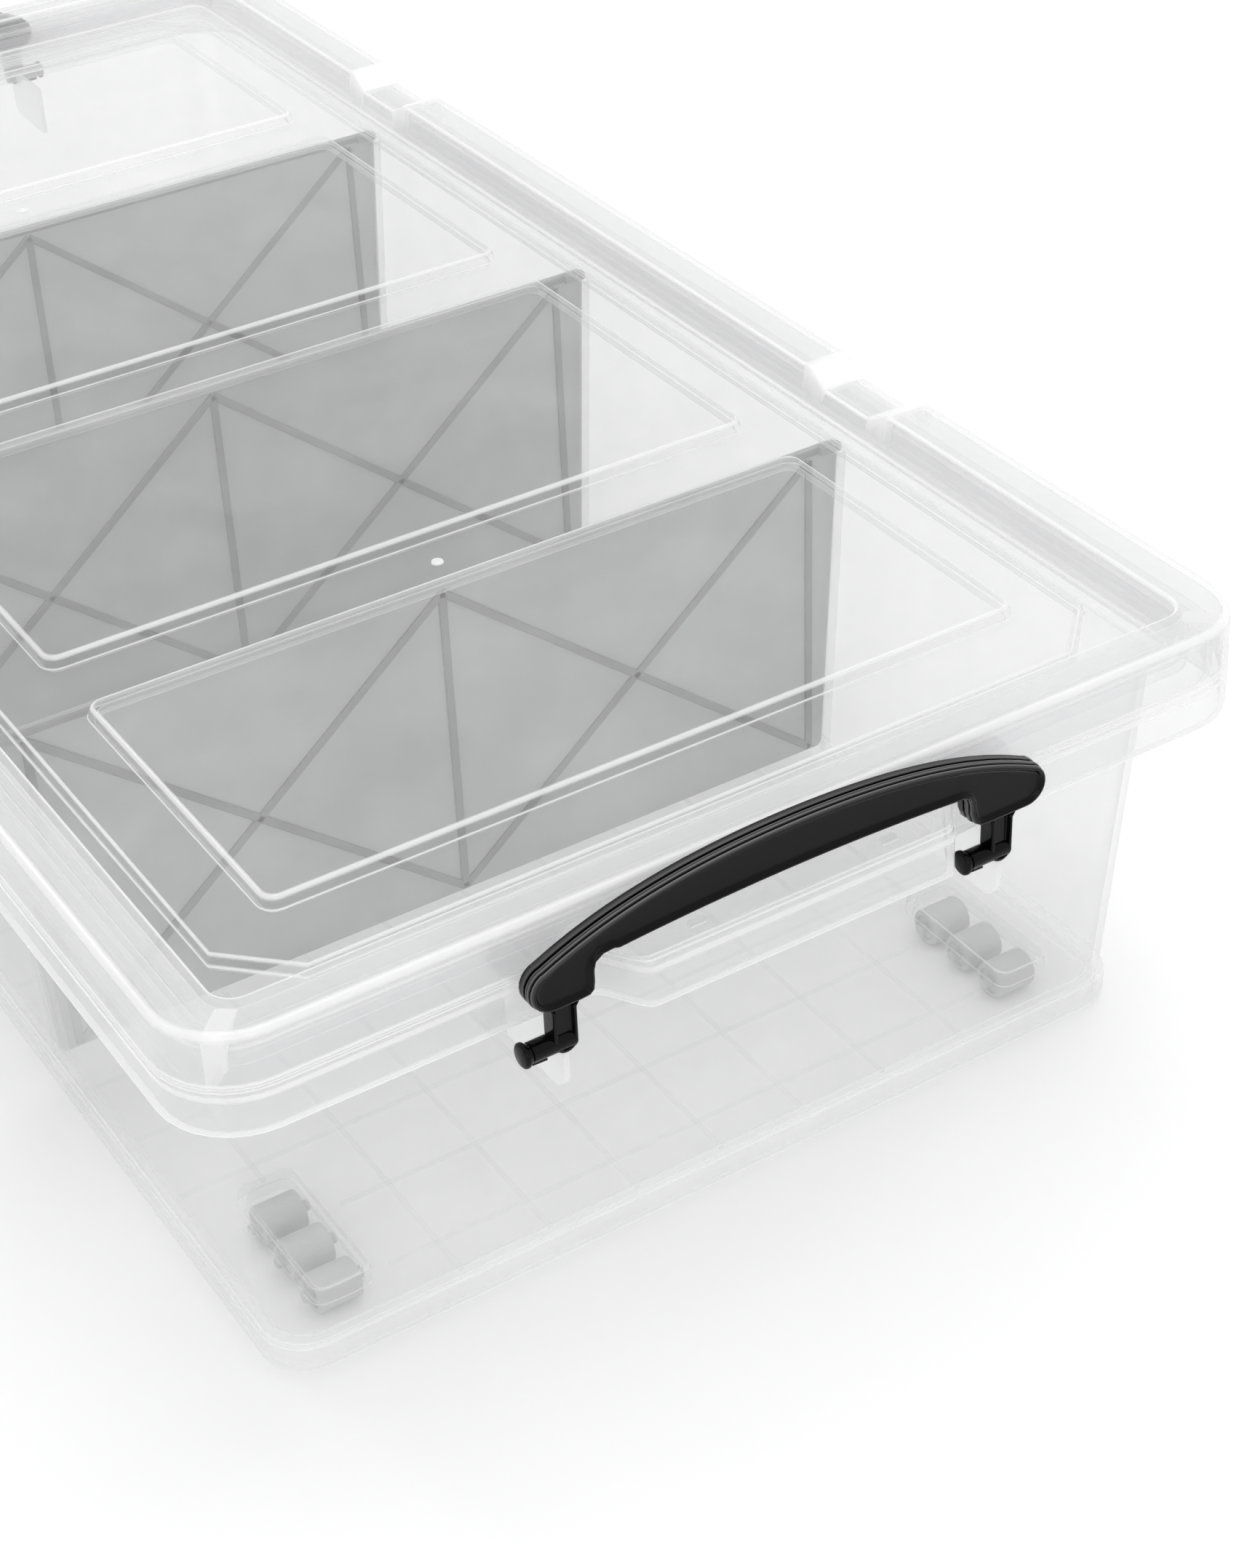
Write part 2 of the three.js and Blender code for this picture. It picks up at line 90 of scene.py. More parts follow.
# ---------- mesh helpers ----------
class Skin:
    """A mesh under construction: loops of vertices, the bands between them, and flat fills."""

    def __init__(self):
        self.bm = bmesh.new()
        self.edge = self.bm.verts.layers.float.new("edge")

    def loop(self, points, edge=0.0):
        made = []
        for p in points:
            v = self.bm.verts.new(Vector(p) * MM)
            v[self.edge] = edge
            made.append(v)
        return made

    def band(self, a, b, closed=True):
        n = len(a)
        for i in range(n if closed else n - 1):
            j = (i + 1) % n
            self.bm.faces.new((a[i], a[j], b[j], b[i]))

    def skin(self, levels):
        """Joins a list of (points, edge) levels and gives back the first and last loops."""
        loops = [self.loop(points, edge) for points, edge in levels]
        for a, b in zip(loops, loops[1:]):
            self.band(a, b)
        return loops[0], loops[-1]

    def cap(self, loop):
        self.bm.faces.new(loop)

    def fill(self, loops):
        """Flat face with holes between several loops."""
        edges = []
        for loop in loops:
            for i, v in enumerate(loop):
                w = loop[(i + 1) % len(loop)]
                edges.append(self.bm.edges.get((v, w)) or self.bm.edges.new((v, w)))
        bmesh.ops.triangle_fill(self.bm, use_beauty=True, use_dissolve=False, edges=edges)

    def add_box(self, low, high, edge=0.3):
        (x0, y0, z0), (x1, y1, z1) = low, high
        a = self.loop([(x0, y0, z0), (x1, y0, z0), (x1, y1, z0), (x0, y1, z0)], edge)
        b = self.loop([(x0, y0, z1), (x1, y0, z1), (x1, y1, z1), (x0, y1, z1)], edge)
        self.band(a, b)
        self.cap(a)
        self.cap(b)

    def object(self, name, material, body, smooth=35.0, nodes=()):
        bmesh.ops.recalc_face_normals(self.bm, faces=self.bm.faces)
        mesh = bpy.data.meshes.new(name)
        self.bm.to_mesh(mesh)
        self.bm.free()
        mesh.materials.append(material)
        for polygon in mesh.polygons:
            polygon.use_smooth = True
        mesh.set_sharp_from_angle(angle=math.radians(smooth))
        obj = bpy.data.objects.new(name, mesh)
        bpy.context.scene.collection.objects.link(obj)
        weighted = obj.modifiers.new("weighted", "WEIGHTED_NORMAL")
        weighted.keep_sharp = True
        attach(obj, body)
        if nodes:
            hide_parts(*nodes)
        return obj


def rounded(rings, distances, steps=3, shine=1.0):
    """Levels through rings of points, with the corner at each ring rounded over its distance."""
    levels = []
    for k, ring in enumerate(rings):
        d = distances[k]
        if not d or k in (0, len(rings) - 1):
            levels.append((ring, 0.0))
            continue
        for s in range(steps + 1):
            t = s / steps
            points = []
            for before, here, after in zip(rings[k - 1], ring, rings[k + 1]):
                here = Vector(here)
                back = Vector(before) - here
                on = Vector(after) - here
                a = here + back * min(d / max(back.length, 1e-6), 0.48)
                b = here + on * min(d / max(on.length, 1e-6), 0.48)
                points.append(a * (1 - t) ** 2 + here * 2 * t * (1 - t) + b * t * t)
            # shine is a painted highlight, strongest across the middle of each rounded corner
            levels.append((points, shine * math.sin(math.pi * t)))
    return levels


def offset(points, distance):
    """A plane outline (a, b) moved inwards by a distance; the outline runs counter-clockwise."""
    n = len(points)
    moved = []
    for i, (a, b) in enumerate(points):
        pa, pb = points[i - 1]
        na, nb = points[(i + 1) % n]
        ta, tb = na - pa, nb - pb
        length = math.hypot(ta, tb) or 1.0
        moved.append((a - tb / length * distance, b + ta / length * distance))
    return moved


def corner_signs(corner):
    """Signs of x and y at the four corners, counter-clockwise from the far right."""
    return (1 if corner in (0, 3) else -1), (1 if corner < 2 else -1)


def plain_ring(half_x, half_y, radius, z, centre=(0.0, 0.0), steps=5):
    """Counter-clockwise loop of a rounded rectangle."""
    points = []
    for corner in range(4):
        sx, sy = corner_signs(corner)
        for s in range(steps + 1):
            a = (corner + s / steps) * math.pi / 2
            x = sx * (half_x - radius) + radius * math.cos(a)
            y = sy * (half_y - radius) + radius * math.sin(a)
            points.append((centre[0] + x, centre[1] + y, z))
    return points


# ---------- materials ----------
def new_material(name):
    material = bpy.data.materials.new(name)
    material.use_nodes = True
    tree = material.node_tree
    tree.nodes.clear()
    return material, tree


def node(tree, kind, **values):
    made = tree.nodes.new(kind)
    for key, value in values.items():
        if key in made.inputs:
            made.inputs[key].default_value = value
        else:
            setattr(made, key, value)
    return made


def link(tree, a, b):
    tree.links.new(a, b)


def noise(tree, scale, detail=3.0, roughness=0.5, distortion=0.0):
    coordinates = node(tree, "ShaderNodeTexCoord")
    made = node(tree, "ShaderNodeTexNoise")
    made.inputs["Scale"].default_value = scale
    made.inputs["Detail"].default_value = detail
    made.inputs["Roughness"].default_value = roughness
    made.inputs["Distortion"].default_value = distortion
    link(tree, coordinates.outputs["Object"], made.inputs["Vector"])
    return made.outputs["Fac"]


def ranged(tree, value, low, high, from_low=0.3, from_high=0.7):
    made = node(tree, "ShaderNodeMapRange")
    made.inputs["From Min"].default_value = from_low
    made.inputs["From Max"].default_value = from_high
    made.inputs["To Min"].default_value = low
    made.inputs["To Max"].default_value = high
    link(tree, value, made.inputs["Value"])
    return made.outputs["Result"]


def combine(tree, operation, a, b, clamp=False):
    made = node(tree, "ShaderNodeMath", operation=operation, use_clamp=clamp)
    for i, value in enumerate((a, b)):
        if isinstance(value, (int, float)):
            made.inputs[i].default_value = value
        else:
            link(tree, value, made.inputs[i])
    return made.outputs[0]


def colour_ramp(tree, value, low, high, low_at=0.3, high_at=0.7):
    """Colour between low and high by a value."""
    made = node(tree, "ShaderNodeValToRGB")
    for element, position, colour in zip(made.color_ramp.elements, (low_at, high_at), (low, high)):
        element.position = position
        element.color = (*colour, 1)
    link(tree, value, made.inputs["Fac"])
    return made.outputs["Color"]


def mix_colour(tree, factor, first, second):
    """A linked colour fading to a plain one by a factor."""
    made = node(tree, "ShaderNodeMixRGB", blend_type="MIX")
    link(tree, factor, made.inputs["Fac"])
    link(tree, first, made.inputs["Color1"])
    made.inputs["Color2"].default_value = (*second, 1)
    return made.outputs["Color"]


def mix_shader(tree, factor, first, second):
    made = node(tree, "ShaderNodeMixShader")
    if isinstance(factor, float):
        made.inputs["Fac"].default_value = factor
    else:
        link(tree, factor, made.inputs["Fac"])
    link(tree, first.outputs[0], made.inputs[1])
    link(tree, second.outputs[0], made.inputs[2])
    return made


def edge_value(tree):
    return node(tree, "ShaderNodeAttribute", attribute_name="edge").outputs["Fac"]


def bump(tree, value, strength, distance):
    made = node(tree, "ShaderNodeBump")
    made.inputs["Strength"].default_value = strength
    made.inputs["Distance"].default_value = distance
    link(tree, value, made.inputs["Height"])
    return made.outputs["Normal"]


def clear_plastic(name, haze, tint, edge_gain, rim_gain):
    """Milky clear plastic: mostly seen through, whiter at grazing angles, and white along its rounded edges
    as a painted highlight.
    """
    material, tree = new_material(name)
    out = node(tree, "ShaderNodeOutputMaterial")
    grain = noise(tree, 26.0, 2.0, 0.6, 0.3)
    normal = bump(tree, grain, 0.16, 0.0004)
    edge = edge_value(tree)
    # edge turns the milk white: milkier plastic along thick edges, and a painted highlight along rounded ones
    shade = colour_ramp(tree, edge, (0.84, 0.842, 0.844), (1, 1, 1), 0.0, 0.6)
    milk = node(tree, "ShaderNodeBsdfDiffuse")
    link(tree, shade, milk.inputs["Color"])
    link(tree, normal, milk.inputs["Normal"])
    glow = node(tree, "ShaderNodeBsdfTranslucent")
    link(tree, shade, glow.inputs["Color"])
    cloudy = mix_shader(tree, 0.5, milk, glow)
    through = node(tree, "ShaderNodeBsdfTransparent")
    through.inputs["Color"].default_value = (*tint, 1)
    facing = node(tree, "ShaderNodeLayerWeight", Blend=0.5).outputs["Facing"]
    grazing = combine(tree, "MULTIPLY", combine(tree, "POWER", facing, 3.5), rim_gain)
    # painted highlight lines along rounded edges, drawn as more solid white plastic
    lines = combine(tree, "MULTIPLY", edge, edge_gain)
    cloud = ranged(tree, grain, haze * 0.75, haze * 1.3)
    solidity = combine(tree, "ADD", combine(tree, "ADD", cloud, grazing), lines, clamp=True)
    body = mix_shader(tree, solidity, through, cloudy)
    gloss = node(tree, "ShaderNodeBsdfAnisotropic")
    gloss.inputs["Color"].default_value = (1, 1, 1, 1)
    gloss.inputs["Roughness"].default_value = 0.14
    link(tree, normal, gloss.inputs["Normal"])
    sheen = combine(tree, "MULTIPLY", combine(tree, "POWER", facing, 5.0), 0.5)
    shine = mix_shader(tree, combine(tree, "ADD", sheen, 0.03), body, gloss)
    link(tree, shine.outputs[0], out.inputs["Surface"])
    return material


def solid_plastic(name, colour, rough, spread, texture, specular):
    """Opaque moulded plastic with a fine grain, with painted highlights along its edges."""
    material, tree = new_material(name)
    out = node(tree, "ShaderNodeOutputMaterial")
    base = node(tree, "ShaderNodeBsdfPrincipled")
    base.inputs["IOR"].default_value = 1.5
    base.inputs["Specular IOR Level"].default_value = specular
    fine = noise(tree, 420.0, 3.0, 0.6)
    broad = noise(tree, 22.0, 3.0, 0.5, 0.5)
    dark, light = [c * (1 - spread) for c in colour], [min(c * (1 + spread), 1) for c in colour]
    # edge lightens the colour along ridges: a painted highlight
    edge_highlight_colour = mix_colour(tree, edge_value(tree), colour_ramp(tree, broad, dark, light),
                          [c * 0.5 + 0.15 for c in colour])
    link(tree, edge_highlight_colour, base.inputs["Base Color"])
    link(tree, ranged(tree, broad, rough * 0.8, rough * 1.25), base.inputs["Roughness"])
    height = combine(tree, "ADD", combine(tree, "MULTIPLY", fine, 0.35), broad)
    link(tree, bump(tree, height, texture, 0.0003), base.inputs["Normal"])
    link(tree, base.outputs[0], out.inputs["Surface"])
    return material


def smoky_plastic(name, colour, opacity):
    """Grey translucent plastic of the dividers, darker where it is thicker."""
    material, tree = new_material(name)
    out = node(tree, "ShaderNodeOutputMaterial")
    grain = noise(tree, 30.0, 2.0, 0.55, 0.3)
    ramp = colour_ramp(tree, grain, [c * 0.94 for c in colour], [c * 1.05 for c in colour])
    edge = edge_value(tree)
    shade = mix_colour(tree, edge, ramp, [c * 0.6 for c in colour])
    base = node(tree, "ShaderNodeBsdfPrincipled")
    base.inputs["IOR"].default_value = 1.49
    base.inputs["Specular IOR Level"].default_value = 0.35
    link(tree, shade, base.inputs["Base Color"])
    link(tree, ranged(tree, grain, 0.3, 0.42), base.inputs["Roughness"])
    link(tree, bump(tree, grain, 0.1, 0.0004), base.inputs["Normal"])
    glow = node(tree, "ShaderNodeBsdfTranslucent")
    link(tree, shade, glow.inputs["Color"])
    core = mix_shader(tree, 0.4, base, glow)
    through = node(tree, "ShaderNodeBsdfTransparent")
    through.inputs["Color"].default_value = (0.85, 0.855, 0.86, 1)
    solid = combine(tree, "ADD", ranged(tree, grain, opacity - 0.03, opacity + 0.03),
                    combine(tree, "MULTIPLY", edge, 0.15), clamp=True)
    mixed = mix_shader(tree, solid, through, core)
    link(tree, mixed.outputs[0], out.inputs["Surface"])
    return material


lid_plastic = clear_plastic("lid_clear_plastic", 0.105, (0.991, 0.991, 0.992), 0.75, 0.3)
tub_plastic = clear_plastic("tub_clear_plastic", 0.1, (0.99, 0.99, 0.991), 0.35, 0.3)
divider_plastic = smoky_plastic("divider_smoky_plastic", (0.57, 0.572, 0.574), 0.82)
black_plastic = solid_plastic("handle_black_plastic", (0.002, 0.002, 0.0021), 0.13, 0.2, 0.04, 0.14)
roller_plastic = solid_plastic("roller_grey_plastic", (0.47, 0.47, 0.47), 0.45, 0.08, 0.12, 0.4)


# ---------- lid ----------
LONG_SAMPLES = [0.0]                     # where the long and the short sides of the lid have vertices
for y_notch in (STRIP_Y[0], STRIP_Y[2]):
    LONG_SAMPLES += [y_notch + s * d for s in (-1, 1) for d in (28, 25.5, 24, 22.5, 15.5, 14, 12.5, 8)]
LONG_SAMPLES.sort()
TONGUE_SAMPLES = (78, 74, 71, 68.5, 67, 65.5, 64, 62.5, 61, 59.5, 58, 56.5, 55, 53, 48, 30)
SHORT_SAMPLES = sorted([s * x for s in (-1, 1) for x in TONGUE_SAMPLES] + [0.0])


def tongue(x, spare=0.0):
    """How far the tongue stands out of the skirt at x."""
    a = abs(x) + spare
    t = min(max((TONGUE_HALF - a) / TONGUE_SLOPE, 0.0), 1.0)
    foot = min(max((FOOT_HALF - a) / FOOT_SLOPE, 0.0), 1.0)
    return (TONGUE_OUT - FOOT_OUT) * t * t * (3 - 2 * t) + FOOT_OUT * foot * foot


def from_dip(y):
    """Distance from the middle of the nearer dip."""
    return min(abs(y - STRIP_Y[0]), abs(y - STRIP_Y[2]))


def notch(y):
    """Depth of the dip in the long rims at y, from 0 to 1."""
    return min(max((NOTCH_HALF - from_dip(y)) / NOTCH_SLOPE, 0.0), 1.0)


def lid_ring(inset_x, inset_y, z, radius, out=0.0, spare=0.0, chamfer=False, dip=0.0, steps=8):
    """Counter-clockwise loop of the lid, with extra points where the tongue and the dips need them."""
    hx, hy = HALF_X - inset_x, HALF_Y - inset_y
    points = []
    for corner in range(4):
        sx, sy = corner_signs(corner)
        cx, cy = sx * (hx - radius), sy * (hy - radius)
        for s in range(steps + 1):
            if chamfer:
                t = s / steps
                a, b = corner * math.pi / 2, (corner + 1) * math.pi / 2
                ux = math.cos(a) * (1 - t) + math.cos(b) * t
                uy = math.sin(a) * (1 - t) + math.sin(b) * t
            else:
                a = (corner + s / steps) * math.pi / 2
                ux, uy = math.cos(a), math.sin(a)
            points.append((cx + radius * ux, cy + radius * uy, z))
        if corner in (0, 2):
            row = reversed(SHORT_SAMPLES) if corner == 0 else SHORT_SAMPLES
            points += [(x, sy * (hy + out * tongue(x, spare)), z) for x in row]
        else:
            row = reversed(LONG_SAMPLES) if corner == 1 else LONG_SAMPLES
            points += [(sx * hx, y, z - dip * notch(y)) for y in row]
    return points


def window_spans():
    """Middle and half length of each window along y."""
    spans = []
    start = -HALF_Y + MARGIN
    for depth in (OUTER_DEPTH, INNER_DEPTH, INNER_DEPTH, OUTER_DEPTH):
        spans.append((start + depth / 2, depth / 2))
        start += depth + STRIP
    return spans


def make_lid():
    """Skirt, rim, moat and platform as two skins, with a raised window in each of the four holes."""
    s = Skin()
    drop = NOTCH_DROP
    outer = [
        lid_ring(0, 0, SKIRT_BOTTOM, SKIRT_RADIUS, out=1.0),
        lid_ring(0, 0, SKIRT_BOTTOM + 1.1, SKIRT_RADIUS, out=1.0),
        lid_ring(0.15, 0.15, 145.6, SKIRT_RADIUS, out=0.985),
        lid_ring(0.2, 0.2, 147.8, SKIRT_RADIUS, out=0.9),
        lid_ring(0.2, 0.2, 149.0, SKIRT_RADIUS, out=0.84),
        lid_ring(0.25, 0.25, 149.6, SKIRT_RADIUS, out=0.0),
        lid_ring(0.6, 0.6, 157.0, 26.5),
        lid_ring(0.9, 0.9, RIM_TOP, 26.2, dip=drop),
        lid_ring(20.4, 17.9, RIM_TOP, 8, dip=drop),
        lid_ring(21.4, 18.9, MOAT, 8),
        lid_ring(32.0, 32.0, MOAT, 22, chamfer=True),
        lid_ring(33.0, 33.0, PLATFORM, 21.5, chamfer=True),
        lid_ring(35.5, 35.5, PLATFORM, 21, chamfer=True),
    ]
    inner = [
        lid_ring(2.0, 2.0, SKIRT_BOTTOM, 25, out=1.0, spare=1.6),
        lid_ring(2.0, 2.0, SKIRT_BOTTOM + 1.1, 25, out=1.0, spare=1.6),
        lid_ring(2.1, 2.1, 144.6, 25, out=0.97, spare=1.6),
        lid_ring(2.2, 2.2, 147.0, 25, out=0.8, spare=1.6),
        lid_ring(2.3, 2.3, 147.6, 25, out=0.0),
        lid_ring(2.6, 2.6, 156.0, 24.5),
        lid_ring(3.0, 3.0, RIM_TOP - WALL, 24, dip=drop),
        lid_ring(18.4, 15.9, RIM_TOP - WALL, 10, dip=drop),
        lid_ring(19.4, 16.9, MOAT - WALL, 10),
        lid_ring(33.2, 33.2, MOAT - WALL, 22, chamfer=True),
        lid_ring(34.4, 34.4, PLATFORM - WALL, 21, chamfer=True),
        lid_ring(36.5, 36.5, PLATFORM - WALL, 21, chamfer=True),
    ]
    outer_radii = [0, 0, 2.0, 0.6, 0.8, 1.5, 0, 3.0, 1.6, 1.4, 0.9, 1.1, 0]
    inner_radii = [0, 0, 1.5, 0.6, 1.0, 0, 2.0, 2.0, 1.4, 1.2, 1.0, 0]
    out_first, out_last = s.skin(rounded(outer, outer_radii))
    in_first, in_last = s.skin(rounded(inner, inner_radii, shine=INNER_SHINE))
    s.band(out_first, in_first)
    for v in out_first + in_first:
        v[s.edge] = RIM_EDGE
    top_holes, under_holes = [out_last], [in_last]
    for y, half in window_spans():
        rings = [
            plain_ring(WINDOW_HALF + 1.2, half + 1.2, 6.5, PLATFORM, (0, y)),
            plain_ring(WINDOW_HALF + 0.4, half + 0.4, 6, PLATFORM, (0, y)),
            plain_ring(WINDOW_HALF - 0.8, half - 0.8, 5.2, WINDOW_TOP, (0, y)),
            plain_ring(WINDOW_HALF - 5.0, half - 5.0, 3.6, WINDOW_TOP, (0, y)),
        ]
        # the rounded top edge of each window carries a painted highlight line
        first, last = s.skin(rounded(rings, [0, 0.7, 1.8, 0]))
        top_holes.append(first)
        s.cap(last)
        rings = [
            plain_ring(WINDOW_HALF - 0.6, half - 0.6, 5, PLATFORM - WALL, (0, y)),
            plain_ring(WINDOW_HALF - 1.6, half - 1.6, 4.4, PLATFORM - WALL, (0, y)),
            plain_ring(WINDOW_HALF - 2.7, half - 2.7, 3.6, WINDOW_TOP - WALL, (0, y)),
            plain_ring(WINDOW_HALF - 4.6, half - 4.6, 2.6, WINDOW_TOP - WALL, (0, y)),
        ]
        first, last = s.skin(rounded(rings, [0, 0.9, 1.0, 0], shine=INNER_SHINE))
        under_holes.append(first)
        s.cap(last)
    s.fill(top_holes)
    s.fill(under_holes)
    for v in s.bm.verts:
        x, y, z = v.co / MM
        if abs(x) > HALF_X - 21.6 or abs(y) > HALF_Y - 19.1:          # rim and skirt
            v[s.edge] = max(v[s.edge], SHEER_EDGE)
        if z > MOAT + 7 and abs(x) > HALF_X - 22 and 13 < from_dip(y) < 26:   # slopes of the dips
            v[s.edge] = 0.8
    return s.object("lid_shell", lid_plastic, "lid", nodes=("lid",))


def make_lid_marks():
    """Gate marks, the small squares on the tongues and the blades under the rim's corners."""
    s = Skin()
    sides = 16
    angles = [k * 2 * math.pi / sides for k in range(sides)]
    for y in (STRIP_Y[0], STRIP_Y[2]):
        rings = []
        for radius, rise in ((2.3, -0.1), (2.1, 0.5), (1.5, 0.7), (0.8, 0.2)):
            points = [(radius * math.cos(a), y + radius * math.sin(a), PLATFORM + rise) for a in angles]
            rings.append((points, 0.7))
        first, last = s.skin(rings)
        s.cap(first)
        s.cap(last)
    for end in (-1, 1):
        for x in (-35, 36):
            y0, y1 = end * (HALF_Y + 6.5), end * (HALF_Y + 10.0)
            s.add_box((x - 3, min(y0, y1), TONGUE_TOP - 0.2), (x + 3, max(y0, y1), TONGUE_TOP + 0.7), 0.8)
    for sx in (-1, 1):
        for sy in (-1, 1):
            make_corner_blade(s, sx, sy)
    return s.object("lid_marks", lid_plastic, "lid")


def make_corner_blade(s, sx, sy):
    """A gusset between the rim and the skirt at one corner, ending in a point."""
    along = Vector((-sx, sy, 0)).normalized()
    profiles = (                                   # (distance along the rim, outline as (inset, z))
        (0.0, [(19.0, 165.9), (12.4, 161.4), (11.2, 159.4), (10.9, 152.0),
               (9.9, 144.0), (9.6, 147.0), (9.6, 165.9)]),
        (6.5, [(19.6, 165.9), (13.1, 161.4), (11.9, 159.4), (11.6, 155.0),
               (11.1, 153.5), (10.3, 154.5), (10.3, 165.9)]),
    )
    loops = []
    for a, profile in profiles:
        points = [Vector((sx * (HALF_X - t), sy * (HALF_Y - t), z)) + along * a for t, z in profile]
        loops.append(s.loop(points, 0.8))
    s.band(*loops)
    s.cap(loops[0])
    s.cap(loops[1])


# ---------- tub ----------
def wall_inset(z):
    """How far the drafted wall of the tub stands in from the lid's skirt at z."""
    t = (z - FOOT_TOP) / (SHOULDER - FOOT_TOP)
    return WALL_INSET_LOW + (WALL_INSET_HIGH - WALL_INSET_LOW) * t


def tub_ring(inset, z, radius=None):
    if radius is None:
        radius = 16.0 if inset > 15.5 else 27.0 - inset
    return plain_ring(HALF_X - inset, HALF_Y - inset, radius, z, steps=8)


def pocket_rings(side, end, grow, low, high):
    """The pocket for three rollers; grow makes the outer skin from the inner one."""
    front = ROLLER_FIRST - 9 - grow
    back = ROLLER_FIRST + 2 * ROLLER_PITCH + 9 + grow
    centre = (side * ROLLER_X, end * (HALF_Y - (front + back) / 2))
    half = (back - front) / 2
    width = ROLLER_W / 2 + 1.2 + grow
    return [
        plain_ring(width + 1, half + 1, 5.5, low, centre, 4),
        plain_ring(width + 0.2, half + 0.2, 5, low, centre, 4),
        plain_ring(width - 0.4, half - 0.4, 4.6, high, centre, 4),
        plain_ring(width - 2.0, half - 2.0, 3.4, high, centre, 4),
    ]


def make_tub():
    """Foot, wall, shoulder, riser and lip as one ring profile, closed by a floor with four pockets."""
    s = Skin()
    rings = [
        tub_ring(32, FLOOR - WALL),
        tub_ring(29.2, FLOOR - WALL),
        tub_ring(29, FOOT_BOTTOM),
        tub_ring(27, FOOT_BOTTOM),
        tub_ring(27, FOOT_TOP - 0.6),
        tub_ring(28.5, FOOT_TOP),
        tub_ring(wall_inset(SHOULDER), SHOULDER),
        tub_ring(13.5, SHOULDER),
        tub_ring(13.5, TUB_TOP - WALL),
        tub_ring(7.6, TUB_TOP - WALL),
        tub_ring(7.6, LIP_BOTTOM),
        tub_ring(5.6, LIP_BOTTOM),
        tub_ring(5.6, TUB_TOP),
        tub_ring(15.5, TUB_TOP),
        tub_ring(15.5, SHOULDER + WALL),
        tub_ring(wall_inset(SHOULDER) + WALL, SHOULDER + WALL, 14),
        tub_ring(31.0, FLOOR, 14),
        tub_ring(36.0, FLOOR, 12),
    ]
    distances = [0, 1.5, 0.5, 0.7, 0.8, 0.7, 1.6, 1.2, 0.8, 0.8, 0.5, 0.5, 1.2, 1.2, 1.6, 1.6, 3.5, 0]
    first, last = s.skin(rounded(rings, distances))
    under, over = [first], [last]
    for side in (-1, 1):
        for end in (-1, 1):
            a, b = s.skin(rounded(pocket_rings(side, end, WALL, FLOOR, 17.5), [0, 0.5, 0.9, 0], 2))
            over.append(a)
            s.cap(b)
            a, b = s.skin(rounded(pocket_rings(side, end, 0, FLOOR - WALL, 15.5), [0, 0.5, 0.9, 0], 2))
            under.append(a)
            s.cap(b)
    s.fill(under)
    s.fill(over)
    return s.object("tub_shell", tub_plastic, "tub", nodes=("tub",))


def make_tub_ribs():
    """Guide ribs for the dividers and the low grid under the floor."""
    s = Skin()
    for y in STRIP_Y:
        for side in (-1, 1):
            for end in (-1, 1):
                loops = []
                for z in (FLOOR - 0.5, 143.0, 144.0):
                    face = HALF_X - wall_inset(z) - WALL
                    depth = 3.0 if z < 144 else 2.2
                    y0, y1 = y + end * 2.4, y + end * 4.2
                    corners = [(face + 0.6, y0), (face - depth, y0 + end * 0.1),
                               (face - depth, y1 - end * 0.1), (face + 0.6, y1)]
                    loops.append(s.loop([(side * a, b, z) for a, b in corners], 0.35))
                s.band(loops[0], loops[1])
                s.band(loops[1], loops[2])
                s.cap(loops[0])
                s.cap(loops[2])
    low, high = FLOOR - WALL - 0.6, FLOOR - WALL + 0.2
    for k in range(-4, 5):
        x = k * GRID_PITCH
        limit = HALF_Y - 34 if abs(x) < 120 else HALF_Y - 108          # shorter beside the pockets
        s.add_box((x - GRID_HALF, -limit, low), (x + GRID_HALF, limit, high), GRID_HAZE)
    for k in range(-10, 11):
        y = k * GRID_PITCH
        limit = HALF_X - 34 if abs(y) < HALF_Y - 108 else 120
        s.add_box((-limit, y - GRID_HALF, low), (limit, y + GRID_HALF, high), GRID_HAZE)
    return s.object("tub_ribs", tub_plastic, "tub")


def make_webs():
    """Webs under the handles' posts, each with a saddle that clears the post as it turns about its pin."""
    s = Skin()
    saddle = [(PIN_OUT + SADDLE_REACH * math.cos(a), PIN_Z + SADDLE_REACH * math.sin(a))
              for a in [math.radians(-62 - 16 * k) for k in range(8)]]
    inside = wall_inset(PIN_Z) + 0.6
    outline = [
        (-inside, PIN_Z - 20.0), (5.4, PIN_Z - 19.6), (7.6, PIN_Z - 18.8), (9.8, PIN_Z - 16.4),
        (10.8, PIN_Z - 14.0), (11.2, PIN_Z - 3.8), *saddle, (PIN_OUT - 4.9, PIN_Z + 3.0),
        (PIN_OUT - 5.6, SKIRT_BOTTOM - 0.6), (-inside, SKIRT_BOTTOM - 0.6),
    ]
    for end in (-1, 1):
        for side in (-1, 1):
            x = side * POST_X + end * POST_SHIFT
            sides = []
            for dx in (-1.0, 1.0):
                a = s.loop([(x + dx, end * (HALF_Y + out), z) for out, z in outline], 0.8)
                s.fill([a])
                sides.append(a)
            s.band(*sides)
    return s.object("tub_webs", tub_plastic, "tub")


